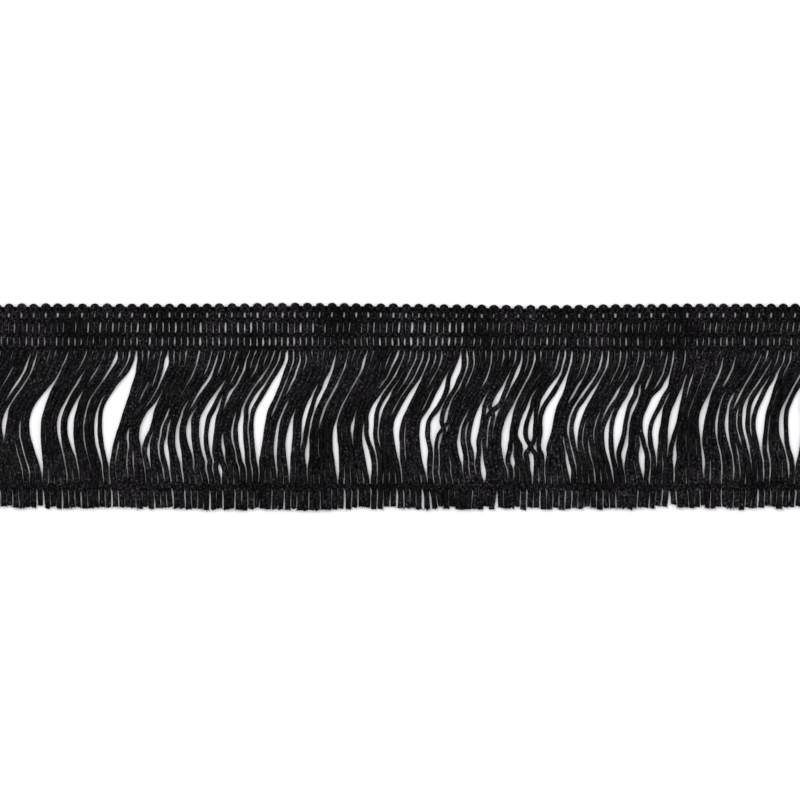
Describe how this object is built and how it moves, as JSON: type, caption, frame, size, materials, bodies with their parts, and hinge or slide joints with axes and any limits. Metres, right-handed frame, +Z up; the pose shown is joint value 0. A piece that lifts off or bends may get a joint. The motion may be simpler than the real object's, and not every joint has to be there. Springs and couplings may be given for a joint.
{
  "type": "tassel fringe trim",
  "caption": "Cut length of black chainette fringe trim: a looped, chain-stitched heading with long hanging yarn legs held near their cut ends by one more chain.",
  "frame": {"origin": "centre of the trim's outline at the level of the surface that it lies on", "axes": "+X along the trim, +Y from the cut ends towards the looped heading, +Z up out of the shown face"},
  "size_m": [0.2178, 0.05, 0.0022],
  "materials": {
    "heading_yarn": "soft, slightly lustrous black chainette yarn",
    "leg_yarn": "soft, slightly lustrous black chainette yarn",
    "chain_yarn": "matt black stitching yarn"
  },
  "bodies": {
    "root": {"heading": "heading_yarn", "fringe": "leg_yarn", "holding_chain": "chain_yarn"}
  },
  "joints": []
}
